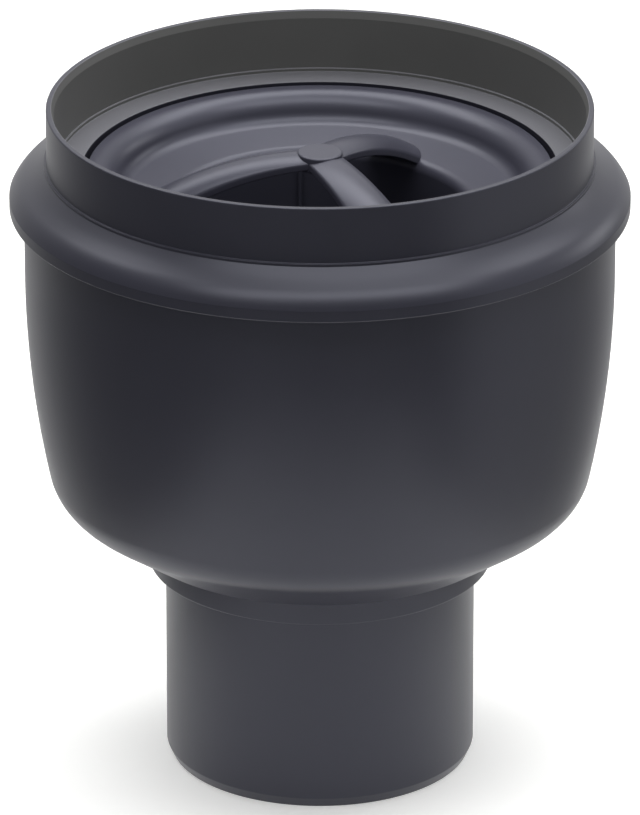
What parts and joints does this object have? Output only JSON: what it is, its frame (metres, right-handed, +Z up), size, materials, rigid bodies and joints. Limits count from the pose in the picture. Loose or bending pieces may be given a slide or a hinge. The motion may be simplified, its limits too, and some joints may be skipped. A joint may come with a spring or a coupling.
{
  "type": "bathroom floor drain",
  "caption": "Round plastic floor drain body with a vertical outlet spigot, a flanged collar and a lift-out odour trap with an arched grip.",
  "frame": {"origin": "centre of the outlet spigot's end face", "axes": "+Z up along the drain's axis, -Y towards the picture's camera"},
  "size_m": [0.1488, 0.1488, 0.1676],
  "materials": {
    "body_plastic": "satin",
    "trap_plastic": "satin",
    "seal_rubber": "matte"
  },
  "bodies": {
    "drain_body": {"outlet_bowl": "body_plastic", "collar_ring": "body_plastic"},
    "trap_insert": {"trap_funnel": "trap_plastic", "trap_cup": "trap_plastic", "seat_seal": "seal_rubber"}
  },
  "joints": [
    {"name": "trap_lift", "type": "slide", "parent": "drain_body", "child": "trap_insert", "axis": [0, 0, 1], "range_m": [0, 0.11]}
  ]
}
